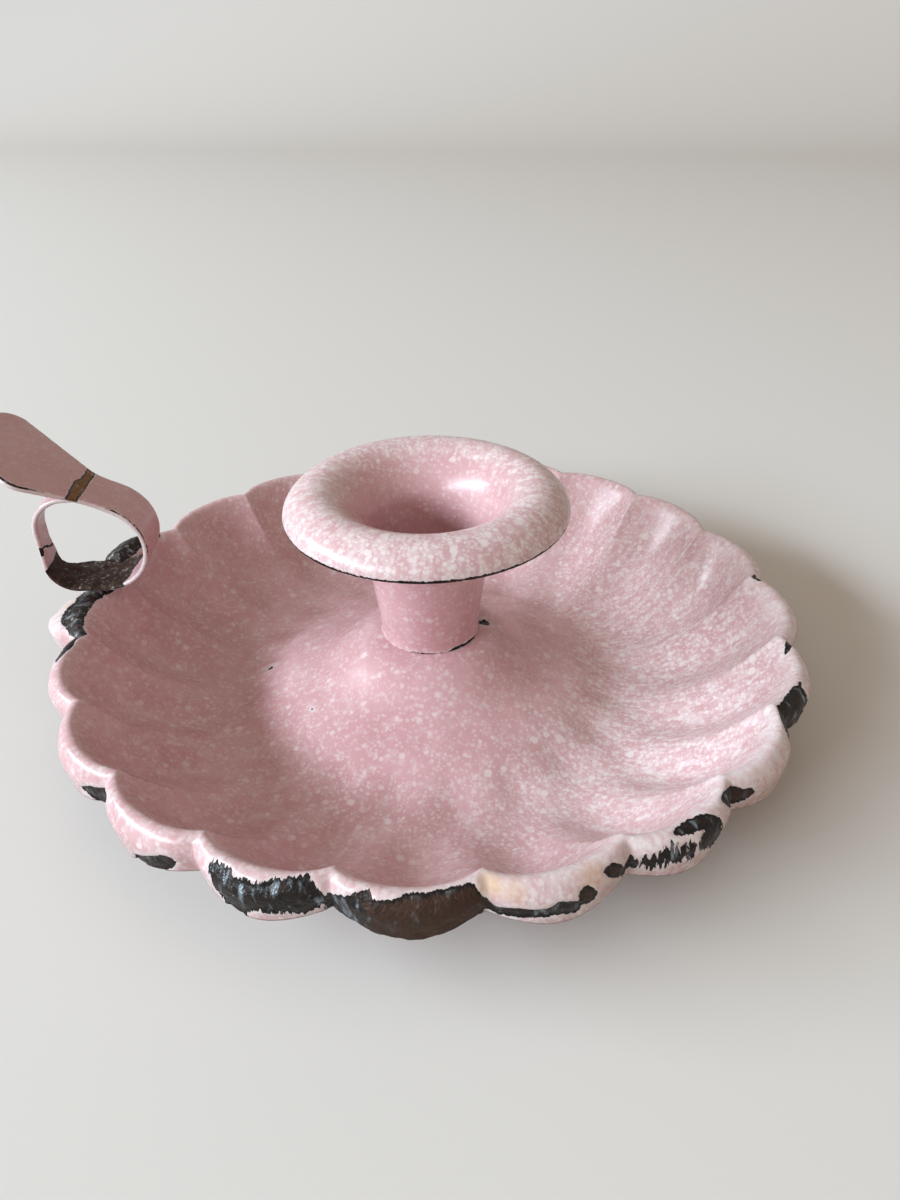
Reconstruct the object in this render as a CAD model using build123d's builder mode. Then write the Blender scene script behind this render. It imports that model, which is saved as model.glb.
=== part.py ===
"""Chamberstick with finger loop: enamelled sheet steel, millimetres, +Z up.

The origin is on the dish's axis, on the plane that the dish stands on. The finger loop is on the -X side.
"""
import os
from math import asin, atan2, cos, degrees, hypot, radians, sin, sqrt

from build123d import *

# Dish: a scalloped pan with a raised centre
LOBE_COUNT = 20
NOTCH_RADIUS = 78.0
LOBE_RADIUS = 81.6
RIM_HEIGHT = 22.4
DISH_WALL = 1.2
MOUND_HEIGHT = 16.5
MOUND_FLAT_RADIUS = 11.4
MOUND_FLANK_RADIUS = 22.5
MOUND_FLANK_HEIGHT = 9.8
MOUND_FOOT_RADIUS = 33.0
MOUND_FOOT_HEIGHT = 4.2
CHANNEL_RADIUS = 46.0
FOOT_TRIM = 0.25
FLUTE_RADIUS = 68.5
FLUTE_HEIGHT = 9.6
RIDGE_INSET = 4.2
RIDGE_CHANNEL_INSET = 4.0

# Rim: the sheet turned over outwards, deeper at the lobes than at the notches
LOBE_OVERHANG = 3.0
NOTCH_OVERHANG = 2.4
LOBE_LIP_DROP = 9.0
NOTCH_LIP_DROP = 7.4
LIP_TUCK = 0.7
ROLL_SHARE = 0.42
SHOULDER_INSET = 2.3
SHOULDER_DROP = 2.0
SHOULDER_SLOPE = 54.0

# Candle socket: a tapered cup with a trumpet lip, heights above the raised centre
SOCKET_WALL = 1.1
SOCKET_FOOT_RADIUS = 10.7
SOCKET_NECK_RADIUS = 13.9
SOCKET_NECK_HEIGHT = 25.0
SOCKET_LIP_HEIGHT = 35.7
SOCKET_LIP_RADIUS = 23.2
SOCKET_EDGE_RADIUS = 29.9
SOCKET_EDGE_DROP = 5.4

# Rivet and burr washer that hold the socket on the raised centre
SHANK_RADIUS = 2.0
HEAD_RADIUS = 4.2
HEAD_HEIGHT = 1.5
WASHER_RADIUS = 5.2
WASHER_THICKNESS = 0.9
TAIL_HEAD_RADIUS = 3.2
TAIL_HEAD_HEIGHT = 1.1
SHANK_CLEARANCE = 0.1

# Finger loop: a strap bent into a ring, with a leaf-shaped thumb rest
LOOP_OUTSET = 1.2
LOOP_TWIST = 13.5
LOOP_SEAT = 0.6
STRAP_THICKNESS = 1.2
STRAP_WIDTH = 13.0
RING_RADIUS = 11.0
RING_INSET = 0.5
RING_FLAT = 6.4
RING_CORNER_RADIUS = 7.0
TAIL_RADIUS = 8.6
TAIL_BRAZE = 0.15
TAIL_SHOULDER_SHARE = 0.7
TAIL_SHOULDER_WIDTH = 9.2
TAIL_WAIST_WIDTH = 7.8
TAIL_NARROW_HEIGHT = 12.0
TAIL_WIDTH = 6.2
# Leaf: lengths from its root and widths from the strap's middle, on its front and far sides
LEAF_SLOPE = 31.0
LEAF_NECK_LENGTH = 9.0
LEAF_FRONT_NECK = 8.3
LEAF_FAR_NECK = 6.4
LEAF_FRONT_LENGTH = 20.0
LEAF_FAR_LENGTH = 27.8
LEAF_FRONT_WIDTH = 12.9
LEAF_FAR_WIDTH = 15.4
LEAF_CORNER_RADIUS = 4.6
LEAF_END_RADIUS = 24.0

# How finely the lobes and the underside are sampled
SECTION_SHARES = (-1, -0.8, -0.45, 0, 0.45, 0.8, 1)
UNDERSIDE_STEPS = 16

half_sector = 180 / LOBE_COUNT
hole_radius = SHANK_RADIUS + SHANK_CLEARANCE


def radial_plane(angle):
    """Upright plane through the axis: local x runs outwards, local y runs up."""
    a = radians(angle)
    return Plane(origin=(0, 0, 0), x_dir=(cos(a), sin(a), 0), z_dir=(sin(a), -cos(a), 0))


def beside(edge, place, wall):
    """Point one wall thickness to the right of an edge, at a share of its length."""
    point = edge @ place
    along = edge % place
    return (point.X + wall * along.Y, point.Y - wall * along.X)


def underside(edge, wall):
    """Points one wall thickness beside an edge, from its end back to its start."""
    return [beside(edge, 1 - step / UNDERSIDE_STEPS, wall) for step in range(UNDERSIDE_STEPS + 1)]


def scallop_radius(angle):
    """Radius of the rim's outer edge: one circular arc per lobe, between two notches."""
    half_chord = NOTCH_RADIUS * sin(radians(half_sector))
    bulge = LOBE_RADIUS - NOTCH_RADIUS * cos(radians(half_sector))
    arc_radius = (half_chord**2 + bulge**2) / (2 * bulge)
    centre = LOBE_RADIUS - arc_radius
    a = radians(angle)
    return centre * cos(a) + sqrt(arc_radius**2 - (centre * sin(a)) ** 2)


def dish_section(share):
    """Section of the sheet at a share of the half lobe: 0 is the middle of a lobe, 1 a notch."""
    outer = scallop_radius(share * half_sector)
    lobe = cos(radians(90 * share)) ** 2
    crest = outer - (NOTCH_OVERHANG + (LOBE_OVERHANG - NOTCH_OVERHANG) * lobe)
    drop = NOTCH_LIP_DROP + (LOBE_LIP_DROP - NOTCH_LIP_DROP) * lobe
    flute = FLUTE_RADIUS - RIDGE_INSET * (1 - lobe)
    channel = CHANNEL_RADIUS - RIDGE_CHANNEL_INSET * (1 - lobe)
    inner = SHANK_RADIUS / 2
    wall_slope = (cos(radians(SHOULDER_SLOPE)), sin(radians(SHOULDER_SLOPE)))
    with BuildSketch(radial_plane(share * half_sector)) as section:
        with BuildLine():
            top = Line((inner, MOUND_HEIGHT), (MOUND_FLAT_RADIUS, MOUND_HEIGHT))
            pan = Spline(
                top @ 1,
                (MOUND_FLANK_RADIUS, MOUND_FLANK_HEIGHT),
                (MOUND_FOOT_RADIUS, MOUND_FOOT_HEIGHT),
                (channel, DISH_WALL - FOOT_TRIM),
                (flute, FLUTE_HEIGHT),
                (crest - SHOULDER_INSET, RIM_HEIGHT - SHOULDER_DROP),
                tangents=((1, 0), wall_slope),
            )
            roll = Spline(
                pan @ 1,
                (crest, RIM_HEIGHT),
                (outer, RIM_HEIGHT - drop * ROLL_SHARE),
                (outer - LIP_TUCK, RIM_HEIGHT - drop),
                tangents=(wall_slope, (1, 0), (0, -1), (-LIP_TUCK, -drop)),
            )
            under_roll = Spline(*underside(roll, DISH_WALL))
            under_pan = Spline(*underside(pan, DISH_WALL))
            Line(roll @ 1, under_roll @ 0)
            under_top = Line(under_pan @ 1, (inner, MOUND_HEIGHT - DISH_WALL))
            Line(under_top @ 1, top @ 0)
        make_face()
    return section.sketch


def leaf_spread(neck, corner, side):
    """Angle at which a side of the leaf leaves its neck to touch the round of its corner."""
    run = corner[0] - neck[0]
    rise = side * (corner[1] - neck[1])
    return degrees(atan2(rise, run) + asin(LEAF_CORNER_RADIUS / hypot(run, rise)))


def end_angle(corner):
    """Direction from the middle of the leaf's arched end to a corner."""
    return degrees(atan2(corner[1] - end_centre[1], corner[0] - end_centre[0]))


os.makedirs("parts", exist_ok=True)

# Finger loop, in its own upright plane, which is turned about the foot by the twist
twist = radians(LOOP_TWIST)
slope = radians(LEAF_SLOPE)
loop_radius = NOTCH_RADIUS - NOTCH_OVERHANG + LOOP_OUTSET
loop_plane = Plane(
    origin=(-loop_radius, 0, RIM_HEIGHT - LOOP_SEAT),
    x_dir=(-cos(twist), -sin(twist), 0),
    z_dir=(-sin(twist), cos(twist), 0),
)
middle = STRAP_THICKNESS / 2
ring_x = -RING_INSET
corner_x = ring_x + RING_FLAT
side_x = corner_x + RING_CORNER_RADIUS - middle
tail_x = side_x - TAIL_RADIUS + middle
tail_reach = RING_RADIUS - STRAP_THICKNESS - TAIL_RADIUS + TAIL_BRAZE
tail_y = RING_RADIUS + (tail_reach + (tail_x - ring_x) * sin(slope)) / cos(slope)
root = (ring_x - RING_RADIUS * sin(slope), RING_RADIUS + RING_RADIUS * cos(slope), 0)
leaf_plane = Plane(
    origin=loop_plane.from_local_coords(root),
    x_dir=loop_plane.x_dir * cos(slope) + loop_plane.y_dir * sin(slope),
    z_dir=loop_plane.x_dir * sin(slope) - loop_plane.y_dir * cos(slope),
)
front_corner = (LEAF_FRONT_LENGTH, LEAF_CORNER_RADIUS - LEAF_FRONT_WIDTH)
rear_corner = (LEAF_FAR_LENGTH, LEAF_FAR_WIDTH - LEAF_CORNER_RADIUS)
leaf_sides = ((-1, LEAF_FRONT_NECK, front_corner), (1, LEAF_FAR_NECK, rear_corner))
corner_run = rear_corner[0] - front_corner[0]
corner_span = rear_corner[1] - front_corner[1]
corner_gap = hypot(corner_run, corner_span)
end_reach = LEAF_END_RADIUS - LEAF_CORNER_RADIUS
end_depth = sqrt(end_reach**2 - (corner_gap / 2) ** 2)
end_centre = (
    (front_corner[0] + rear_corner[0]) / 2 - end_depth * corner_span / corner_gap,
    (front_corner[1] + rear_corner[1]) / 2 + end_depth * corner_run / corner_gap,
)
far_corner = loop_plane.from_local_coords((corner_x, -STRAP_THICKNESS, -STRAP_WIDTH / 2))
corner_plan = Plane(origin=far_corner, x_dir=loop_plane.x_dir, z_dir=-loop_plane.y_dir)
tail_side = Plane(origin=far_corner, x_dir=loop_plane.y_dir, z_dir=loop_plane.x_dir)
corner_rise = RING_CORNER_RADIUS + STRAP_THICKNESS
narrow_rise = TAIL_NARROW_HEIGHT + STRAP_THICKNESS
tail_top = tail_y + TAIL_RADIUS + 2 * STRAP_THICKNESS
beyond = STRAP_WIDTH + STRAP_THICKNESS

with BuildPart() as finger_loop:
    with BuildSketch(loop_plane):
        with BuildLine():
            CenterArc((ring_x, RING_RADIUS), RING_RADIUS - middle, 90 + LEAF_SLOPE, 180 - LEAF_SLOPE)
            Line((ring_x, middle), (corner_x, middle))
            CenterArc((corner_x, RING_CORNER_RADIUS), RING_CORNER_RADIUS - middle, -90, 90)
            Line((side_x, RING_CORNER_RADIUS), (side_x, tail_y))
            CenterArc((tail_x, tail_y), TAIL_RADIUS - middle, 0, 90 + LEAF_SLOPE)
        trace(line_width=STRAP_THICKNESS)
    extrude(amount=STRAP_WIDTH / 2, both=True)
    # The tail narrows on its far side, round the ring's corner and then up to the leaf
    with BuildSketch(corner_plan):
        with BuildLine():
            narrowing = Spline(
                (0, STRAP_WIDTH),
                (RING_CORNER_RADIUS * TAIL_SHOULDER_SHARE, TAIL_SHOULDER_WIDTH),
                (RING_CORNER_RADIUS, TAIL_WAIST_WIDTH),
                tangents=((1, 0), (1, 0)),
            )
            Polyline(
                narrowing @ 1,
                (corner_rise, TAIL_WAIST_WIDTH),
                (corner_rise, beyond),
                (0, beyond),
                narrowing @ 0,
            )
        make_face()
    extrude(amount=-corner_rise, mode=Mode.SUBTRACT)
    with BuildSketch(tail_side):
        with BuildLine():
            Polyline(
                (corner_rise, TAIL_WAIST_WIDTH),
                (narrow_rise, TAIL_WIDTH),
                (tail_top, TAIL_WIDTH),
                (tail_top, beyond),
                (corner_rise, beyond),
                close=True,
            )
        make_face()
    extrude(amount=corner_rise, both=True, mode=Mode.SUBTRACT)
    with BuildSketch(leaf_plane):
        with BuildLine():
            Line((0, -STRAP_WIDTH / 2), (0, STRAP_WIDTH / 2))
            for side, neck_width, corner in leaf_sides:
                neck = (LEAF_NECK_LENGTH, side * neck_width)
                spread = leaf_spread(neck, corner, side)
                Spline(
                    (0, side * STRAP_WIDTH / 2),
                    neck,
                    tangents=((1, 0), (cos(radians(spread)), side * sin(radians(spread)))),
                )
                turn_start = side * (90 + spread)
                turn = CenterArc(corner, LEAF_CORNER_RADIUS, turn_start, end_angle(corner) - turn_start)
                Line(neck, turn @ 0)
            front_end = end_angle(front_corner)
            CenterArc(end_centre, LEAF_END_RADIUS, front_end, end_angle(rear_corner) - front_end)
        make_face()
    extrude(amount=STRAP_THICKNESS)
finger_loop.part.label = "finger_loop"
export_step(finger_loop.part, "parts/finger_loop.step")

# Dish: one lobe lofted from notch to notch, repeated, then seated for the loop and the socket
with BuildPart() as dish_lobe:
    loft(sections=[dish_section(share) for share in SECTION_SHARES], clean=False)

with BuildPart() as dish:
    with PolarLocations(0, LOBE_COUNT, start_angle=half_sector):
        add(dish_lobe.part, clean=False)
    split(bisect_by=Plane.XY, keep=Keep.TOP)
    with BuildSketch(Plane.XY.offset(MOUND_HEIGHT)):
        Circle(hole_radius)
    extrude(amount=-MOUND_HEIGHT, mode=Mode.SUBTRACT)
    add(finger_loop.part, mode=Mode.SUBTRACT)
dish.part.label = "dish"
export_step(dish.part, "parts/dish.step")

# Candle socket: drawn cup with a flat floor, standing on the raised centre
with BuildPart() as candle_socket:
    with BuildSketch(Plane.XZ):
        with BuildLine():
            floor = MOUND_HEIGHT + SOCKET_WALL
            lip = MOUND_HEIGHT + SOCKET_LIP_HEIGHT
            stem = Line(
                (SOCKET_FOOT_RADIUS - SOCKET_WALL, floor),
                (SOCKET_NECK_RADIUS - SOCKET_WALL, MOUND_HEIGHT + SOCKET_NECK_HEIGHT),
            )
            flare = Spline(
                stem @ 1,
                (SOCKET_LIP_RADIUS, lip),
                (SOCKET_EDGE_RADIUS, lip - SOCKET_EDGE_DROP),
                tangents=(stem % 1, (1, 0), (0, -1)),
            )
            under_flare = Spline(*underside(flare, SOCKET_WALL))
            Line(flare @ 1, under_flare @ 0)
            outside = Line(under_flare @ 1, (SOCKET_FOOT_RADIUS, MOUND_HEIGHT))
            bottom = Line(outside @ 1, (hole_radius, MOUND_HEIGHT))
            hole = Line(bottom @ 1, (hole_radius, floor))
            Line(hole @ 1, stem @ 0)
        make_face()
    revolve(axis=Axis.Z)
candle_socket.part.label = "candle_socket"
export_step(candle_socket.part, "parts/candle_socket.step")

# Burr washer under the raised centre
washer_top = MOUND_HEIGHT - DISH_WALL
with BuildPart() as socket_washer:
    with BuildSketch(Plane.XY.offset(washer_top)):
        Circle(WASHER_RADIUS)
        Circle(hole_radius, mode=Mode.SUBTRACT)
    extrude(amount=-WASHER_THICKNESS)
socket_washer.part.label = "socket_washer"
export_step(socket_washer.part, "parts/socket_washer.step")

# Rivet: domed head on the socket's floor, tail clenched on the washer
clench = washer_top - WASHER_THICKNESS
grip_top = MOUND_HEIGHT + SOCKET_WALL
with BuildPart() as socket_rivet:
    with BuildSketch(Plane.XZ):
        with BuildLine():
            TangentArc((0, clench - TAIL_HEAD_HEIGHT), (TAIL_HEAD_RADIUS, clench), tangent=(1, 0))
            TangentArc((0, grip_top + HEAD_HEIGHT), (HEAD_RADIUS, grip_top), tangent=(1, 0))
            Polyline(
                (TAIL_HEAD_RADIUS, clench),
                (SHANK_RADIUS, clench),
                (SHANK_RADIUS, grip_top),
                (HEAD_RADIUS, grip_top),
            )
            Line((0, grip_top + HEAD_HEIGHT), (0, clench - TAIL_HEAD_HEIGHT))
        make_face()
    revolve(axis=Axis.Z)
socket_rivet.part.label = "socket_rivet"
export_step(socket_rivet.part, "parts/socket_rivet.step")
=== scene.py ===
"""Looks of the chamberstick: pink speckled enamel on pressed steel, chipped and worn.

Sizes are in millimetres and angles in degrees. Meshes, floor and light are in metres.
"""

from functools import partial, reduce
from math import asin, atan2, cos, hypot, pi, radians, sin, sqrt
from typing import NamedTuple

import bpy
import numpy as np
from mathutils import Euler, Matrix, Vector


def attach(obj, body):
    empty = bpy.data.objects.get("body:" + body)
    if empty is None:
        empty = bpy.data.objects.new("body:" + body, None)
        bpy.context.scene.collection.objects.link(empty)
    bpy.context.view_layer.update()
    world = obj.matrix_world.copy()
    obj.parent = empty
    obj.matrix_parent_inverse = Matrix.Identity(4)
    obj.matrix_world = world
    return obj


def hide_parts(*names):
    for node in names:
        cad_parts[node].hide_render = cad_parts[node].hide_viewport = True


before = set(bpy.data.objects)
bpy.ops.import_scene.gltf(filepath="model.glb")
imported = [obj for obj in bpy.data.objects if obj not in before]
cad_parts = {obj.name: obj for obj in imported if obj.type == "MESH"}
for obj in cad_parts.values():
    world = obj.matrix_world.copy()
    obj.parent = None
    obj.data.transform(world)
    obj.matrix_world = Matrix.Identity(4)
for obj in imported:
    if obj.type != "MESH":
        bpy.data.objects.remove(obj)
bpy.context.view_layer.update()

MM = 0.001

# Dish
LOBE_COUNT = 20
NOTCH_RADIUS = 78.0
LOBE_RADIUS = 81.6
RIM_HEIGHT = 22.4
DISH_WALL = 1.2
MOUND_HEIGHT = 16.5
MOUND_FLAT_RADIUS = 11.4
MOUND_FLANK = (22.5, 9.8)
MOUND_FOOT = (33.0, 4.2)
MOUND_FULLNESS = 1.2
CHANNEL_RADIUS = 46.0
CHANNEL_HEIGHT = 0.95
FLUTE_RADIUS = 68.5
FLUTE_HEIGHT = 9.6
RIDGE_INSET = 4.2
RIDGE_CHANNEL_INSET = 4.0
LOBE_OVERHANG = 3.0
NOTCH_OVERHANG = 2.4
LOBE_LIP_DROP = 9.0
NOTCH_LIP_DROP = 7.4
LIP_TUCK = 0.7
ROLL_SHARE = 0.42
SHOULDER_INSET = 2.3
SHOULDER_DROP = 2.0
SHOULDER_SLOPE = 54.0
HOLE_RADIUS = 2.1
BENT_LOBE_AZIMUTH = 189.0
BENT_LOBE_REACH = 6.2
BENT_LOBE_SHARPNESS = 1.4
RAISED_LOBE_REACH = 3.4
RAISED_LOBE_LIFT = 2.8

# Candle socket, heights above the raised centre
SOCKET_WALL = 1.1
SOCKET_FOOT_RADIUS = 10.7
SOCKET_NECK_RADIUS = 13.9
SOCKET_NECK_HEIGHT = 25.0
SOCKET_LIP_HEIGHT = 35.7
SOCKET_LIP_RADIUS = 23.2
SOCKET_EDGE_RADIUS = 29.9
SOCKET_EDGE_DROP = 5.4
SOCKET_EDGE_ROUNDNESS = 0.9
FOOT_FILLET_HEIGHTS = (1.5, 1.1, 0.75, 0.45, 0.2, 0.0)
FOOT_FILLET_REACH = 0.4
STEM_END_HEIGHT = 1.9

# Finger loop
LOOP_RADIUS = 76.8
LOOP_TWIST = 13.5
LOOP_SEAT = 0.6
STRAP_THICKNESS = 1.2
STRAP_WIDTH = 13.0
RING_RADIUS = 11.0
RING_INSET = 0.5
RING_FLAT = 6.4
RING_CORNER_RADIUS = 7.0
RING_LUMP_HEIGHT = 0.55
TAIL_RADIUS = 8.6
TAIL_BRAZE = 0.15
TAIL_SHOULDER_SHARE = 0.7
TAIL_SHOULDER_WIDTH = 9.2
TAIL_WAIST_WIDTH = 7.8
TAIL_NARROW_HEIGHT = 12.0
TAIL_WIDTH = 6.2
TAIL_FEATHER = 4.5
TAIL_FEATHER_SHARE = 0.65
LEAF_SLOPE = 31.0
LEAF_NECK_LENGTH = 9.0
LEAF_FRONT_NECK = 8.3
LEAF_FAR_NECK = 6.4
LEAF_FRONT_LENGTH = 20.0
LEAF_FAR_LENGTH = 27.8
LEAF_FRONT_WIDTH = 12.9
LEAF_FAR_WIDTH = 15.4
LEAF_CORNER_RADIUS = 4.6
LEAF_END_RADIUS = 24.0

# Counts of points and steps in the meshes
COLUMNS_PER_LOBE = 40
FLAT_POINTS = 4
PAN_STEPS = (9, 5, 6, 14, 8)
SHOULDER_STEPS = (6,)
ROLL_STEPS = (12,)
SKIRT_STEPS = (14,)
ROWS_PER_UNDER_ROW = 2
SOCKET_COLUMNS = 320
SOCKET_FLOOR_POINTS = 5
STEM_POINTS = 16
FLARE_STEPS = (30,)
LIP_STEPS = (24,)
THROAT_STEPS = (24,)
LEAF_CORNER_POINTS = 40
LEAF_END_POINTS = 90
LEAF_STATIONS = 110
RING_STATIONS = 70
RING_FLAT_STATIONS = 18
RING_CORNER_STATIONS = 40
TAIL_SHOULDER_STEPS = (20, 20)
TAIL_STATIONS = 40
TAIL_ARC_STATIONS = 48
STRAP_FACE_POINTS = 17
STRAP_EDGE_POINTS = 7
# Shares of the half turn round a sheet's edge
EDGE_TURNS = np.array([0.25, 0.5, 0.75])
# Directions in a section
OUTWARD = (1, 0)
DOWNWARD = (0, -1)

# Smooth noise. A layer of it has its greatest height, the width of its features and its seed.
NOISE_TABLE_SIZE = 4096
NOISE_PRIMES = (73856093, 19349663, 83492791)


def ramp(low, high, value):
    """0 at low, 1 at high, smooth between."""
    share = np.clip((value - low) / (high - low), 0, 1)
    return share * share * (3 - 2 * share)


def plateau(rise, full, fading, gone, value):
    """0 up to rise and from gone on, 1 from full to fading, smooth between."""
    return ramp(rise, full, value) * ramp(gone, fading, value)


def spline(points, start, end, steps):
    """Cubic spline by chord length through points of shape (columns, n, 2), with end slopes.

    Gives steps[i] samples in segment i and the last point.
    """
    columns, count, _ = points.shape
    chords = np.linalg.norm(np.diff(points, axis=1), axis=2)
    slopes = np.diff(points, axis=1) / chords[:, :, None]
    matrix = np.zeros((columns, count, count))
    right = np.zeros((columns, count, 2))
    matrix[:, 0, 0] = 1
    matrix[:, -1, -1] = 1
    right[:, 0] = start
    right[:, -1] = end
    for i in range(1, count - 1):
        before = 1 / chords[:, i - 1]
        after = 1 / chords[:, i]
        matrix[:, i, i - 1] = before
        matrix[:, i, i] = 2 * (before + after)
        matrix[:, i, i + 1] = after
        right[:, i] = 3 * (slopes[:, i - 1] * before[:, None] + slopes[:, i] * after[:, None])
    tangents = np.linalg.solve(matrix, right)
    rows = []
    for i, count_here in enumerate(steps):
        last = i == len(steps) - 1
        for t in np.linspace(0, 1, count_here + last, endpoint=last):
            h = chords[:, i, None]
            rows.append(
                (1 + 2 * t) * (1 - t) ** 2 * points[:, i]
                + t * (1 - t) ** 2 * h * tangents[:, i]
                + t * t * (3 - 2 * t) * points[:, i + 1]
                + t * t * (t - 1) * h * tangents[:, i + 1]
            )
    return np.stack(rows, axis=1)


def right_normals(lines):
    """Unit normals to the right of lines of shape (columns, rows, 2)."""
    along = np.gradient(lines, axis=1)
    along /= np.linalg.norm(along, axis=2, keepdims=True)
    return np.stack([along[:, :, 1], -along[:, :, 0]], axis=2)


def arc_length(lines):
    """Distance along each of the lines of shape (columns, rows, 2)."""
    return np.cumsum(np.linalg.norm(np.diff(lines, axis=1, prepend=lines[:, :1]), axis=2), axis=1)


def lattice_noise(points, cell, seed):
    """Smooth noise from -1 to 1 with features about one cell wide."""
    table = np.random.default_rng(seed).uniform(-1, 1, NOISE_TABLE_SIZE)
    scaled = np.asarray(points, dtype=float) / cell
    base = np.floor(scaled).astype(np.int64)
    share = ramp(0, 1, scaled - base)
    total = np.zeros(scaled.shape[:-1])
    for corner in np.ndindex(2, 2, 2):
        spot = (base + np.array(corner)) * NOISE_PRIMES
        key = spot[..., 0] ^ spot[..., 1] ^ spot[..., 2]
        weight = np.prod(np.where(np.array(corner) == 1, share, 1 - share), axis=-1)
        total += weight * table[key % NOISE_TABLE_SIZE]
    return total


def waves(points, *layers):
    """Sum of layers of noise."""
    return sum(height * lattice_noise(points, cell, seed) for height, cell, seed in layers)


def turned(section, angle):
    """Points (columns, rows, 3) from sections (columns, rows, 2) of radius and height."""
    r = section[..., 0]
    return np.stack([r * np.cos(angle)[:, None], r * np.sin(angle)[:, None], section[..., 1]], axis=2)


def wrapped(radius, along, angle):
    """Distances along the columns, of shape (columns, rows), wrapped round a cylinder."""
    return turned(np.stack(np.broadcast_arrays(radius, along), axis=2), angle)


def scene_object(name, data):
    """Object made from data and put into the scene."""
    obj = bpy.data.objects.new(name, data)
    bpy.context.scene.collection.objects.link(obj)
    return obj


def grid_mesh(name, points, attributes, rows_close=True):
    """Mesh object from points of shape (columns, rows, 3) in mm, with values at its points.

    Columns close on themselves. Rows do so too, or else end in caps.
    """
    columns, rows, _ = points.shape
    index = np.arange(columns * rows).reshape(columns, rows)
    beside = np.roll(index, -1, axis=0)
    corners = [index, beside, np.roll(beside, -1, axis=1), np.roll(index, -1, axis=1)]
    faces = np.stack(corners, axis=2)
    caps = []
    if not rows_close:
        faces = faces[:, :-1]
        caps = [index[::-1, 0].tolist(), index[:, -1].tolist()]
    mesh = bpy.data.meshes.new(name)
    mesh.from_pydata((points.reshape(-1, 3) * MM).tolist(), [], faces.reshape(-1, 4).tolist() + caps)
    for key, values in attributes.items():
        if values.ndim == 3:
            layer = mesh.attributes.new(key, "FLOAT_VECTOR", "POINT")
            layer.data.foreach_set("vector", values.reshape(-1))
        else:
            layer = mesh.attributes.new(key, "FLOAT", "POINT")
            layer.data.foreach_set("value", values.reshape(-1))
    mesh.validate()
    mesh.shade_smooth()
    return scene_object(name, mesh)


# Dish: sections of the sheet round the axis, with ridges between the flutes creased along their tops
CREASE_SHARE = 0.25
CREASE_POWER = 1.6
columns = LOBE_COUNT * COLUMNS_PER_LOBE
azimuth = np.arange(columns) * 360 / columns
half_sector = 180 / LOBE_COUNT
from_lobe = (azimuth % (2 * half_sector)) - half_sector
lobe = np.cos(pi / 2 * from_lobe / half_sector) ** 2
ridge = (1 - CREASE_SHARE) * (1 - lobe) + CREASE_SHARE * (np.abs(from_lobe) / half_sector) ** CREASE_POWER


def scallop_radius(angle):
    """Radius of the rim's outer edge, one circular arc per lobe, angles from the middle of the lobe."""
    half_chord = NOTCH_RADIUS * sin(radians(half_sector))
    bulge = LOBE_RADIUS - NOTCH_RADIUS * cos(radians(half_sector))
    arc = (half_chord**2 + bulge**2) / (2 * bulge)
    centre = LOBE_RADIUS - arc
    a = np.radians(angle)
    return centre * np.cos(a) + np.sqrt(arc**2 - (centre * np.sin(a)) ** 2)


outer = scallop_radius(from_lobe)
crest = outer - (NOTCH_OVERHANG + (LOBE_OVERHANG - NOTCH_OVERHANG) * lobe)
drop = NOTCH_LIP_DROP + (LOBE_LIP_DROP - NOTCH_LIP_DROP) * lobe


def column(r, z):
    """One control point in each column."""
    return np.stack(np.broadcast_arrays(r, z, outer)[:2], axis=1)


def dish_section():
    """Top of the sheet in each column, from the rivet hole out to the lip, and the row of the crest."""
    wall = (cos(radians(SHOULDER_SLOPE)), sin(radians(SHOULDER_SLOPE)))
    shoulder = column(crest - SHOULDER_INSET, RIM_HEIGHT - SHOULDER_DROP)
    crown = column(crest, RIM_HEIGHT)
    widest = column(outer, RIM_HEIGHT - drop * ROLL_SHARE)
    lip = column(outer - LIP_TUCK, RIM_HEIGHT - drop)
    lip_slope = np.stack([np.full(columns, -LIP_TUCK), -drop], axis=1)
    lip_slope /= np.linalg.norm(lip_slope, axis=1, keepdims=True)
    flat_radii = np.linspace(HOLE_RADIUS, MOUND_FLAT_RADIUS, FLAT_POINTS)[:-1]
    flat = np.stack([column(r, MOUND_HEIGHT) for r in flat_radii], axis=1)
    pan_points = [
        column(MOUND_FLAT_RADIUS, MOUND_HEIGHT),
        column(*MOUND_FLANK),
        column(*MOUND_FOOT),
        column(CHANNEL_RADIUS - RIDGE_CHANNEL_INSET * (1 - lobe), CHANNEL_HEIGHT),
        column(FLUTE_RADIUS - RIDGE_INSET * ridge, FLUTE_HEIGHT),
        shoulder,
    ]
    pan = spline(np.stack(pan_points, axis=1), OUTWARD, wall, PAN_STEPS)
    turn_in = spline(np.stack([shoulder, crown], axis=1), wall, OUTWARD, SHOULDER_STEPS)
    turn_out = spline(np.stack([crown, widest], axis=1), OUTWARD, DOWNWARD, ROLL_STEPS)
    skirt = spline(np.stack([widest, lip], axis=1), DOWNWARD, lip_slope, SKIRT_STEPS)
    crest_row = flat.shape[1] + pan.shape[1] + turn_in.shape[1] - 2
    return np.concatenate([flat, pan, turn_in[:, 1:], turn_out[:, 1:], skirt[:, 1:]], axis=1), crest_row


# Unevenness of the sheet. Places are mm outward along the sheet from the rim's crest.
RIM_PINCH = 0.22
RIM_PINCH_WAVES = (RIM_PINCH, 13, 5)
RIM_WAVES = (0.45, 17, 6)
RIM_WAVE_RADII = (52, 76)
RIM_WAVE_PLACES = (-30, 0)
PAN_WAVES = (0.12, 9, 7)
PAN_WAVE_RADII = (20, 34)
FULLER_RADII = (20, 33, 33, 42)
RAISED_LOBE_AZIMUTHS = (162.5, 171, 174.6, 177.4)
REACH_PLACES = (0, 6.5)
LIFT_PLACES = (-5, 2)


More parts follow.
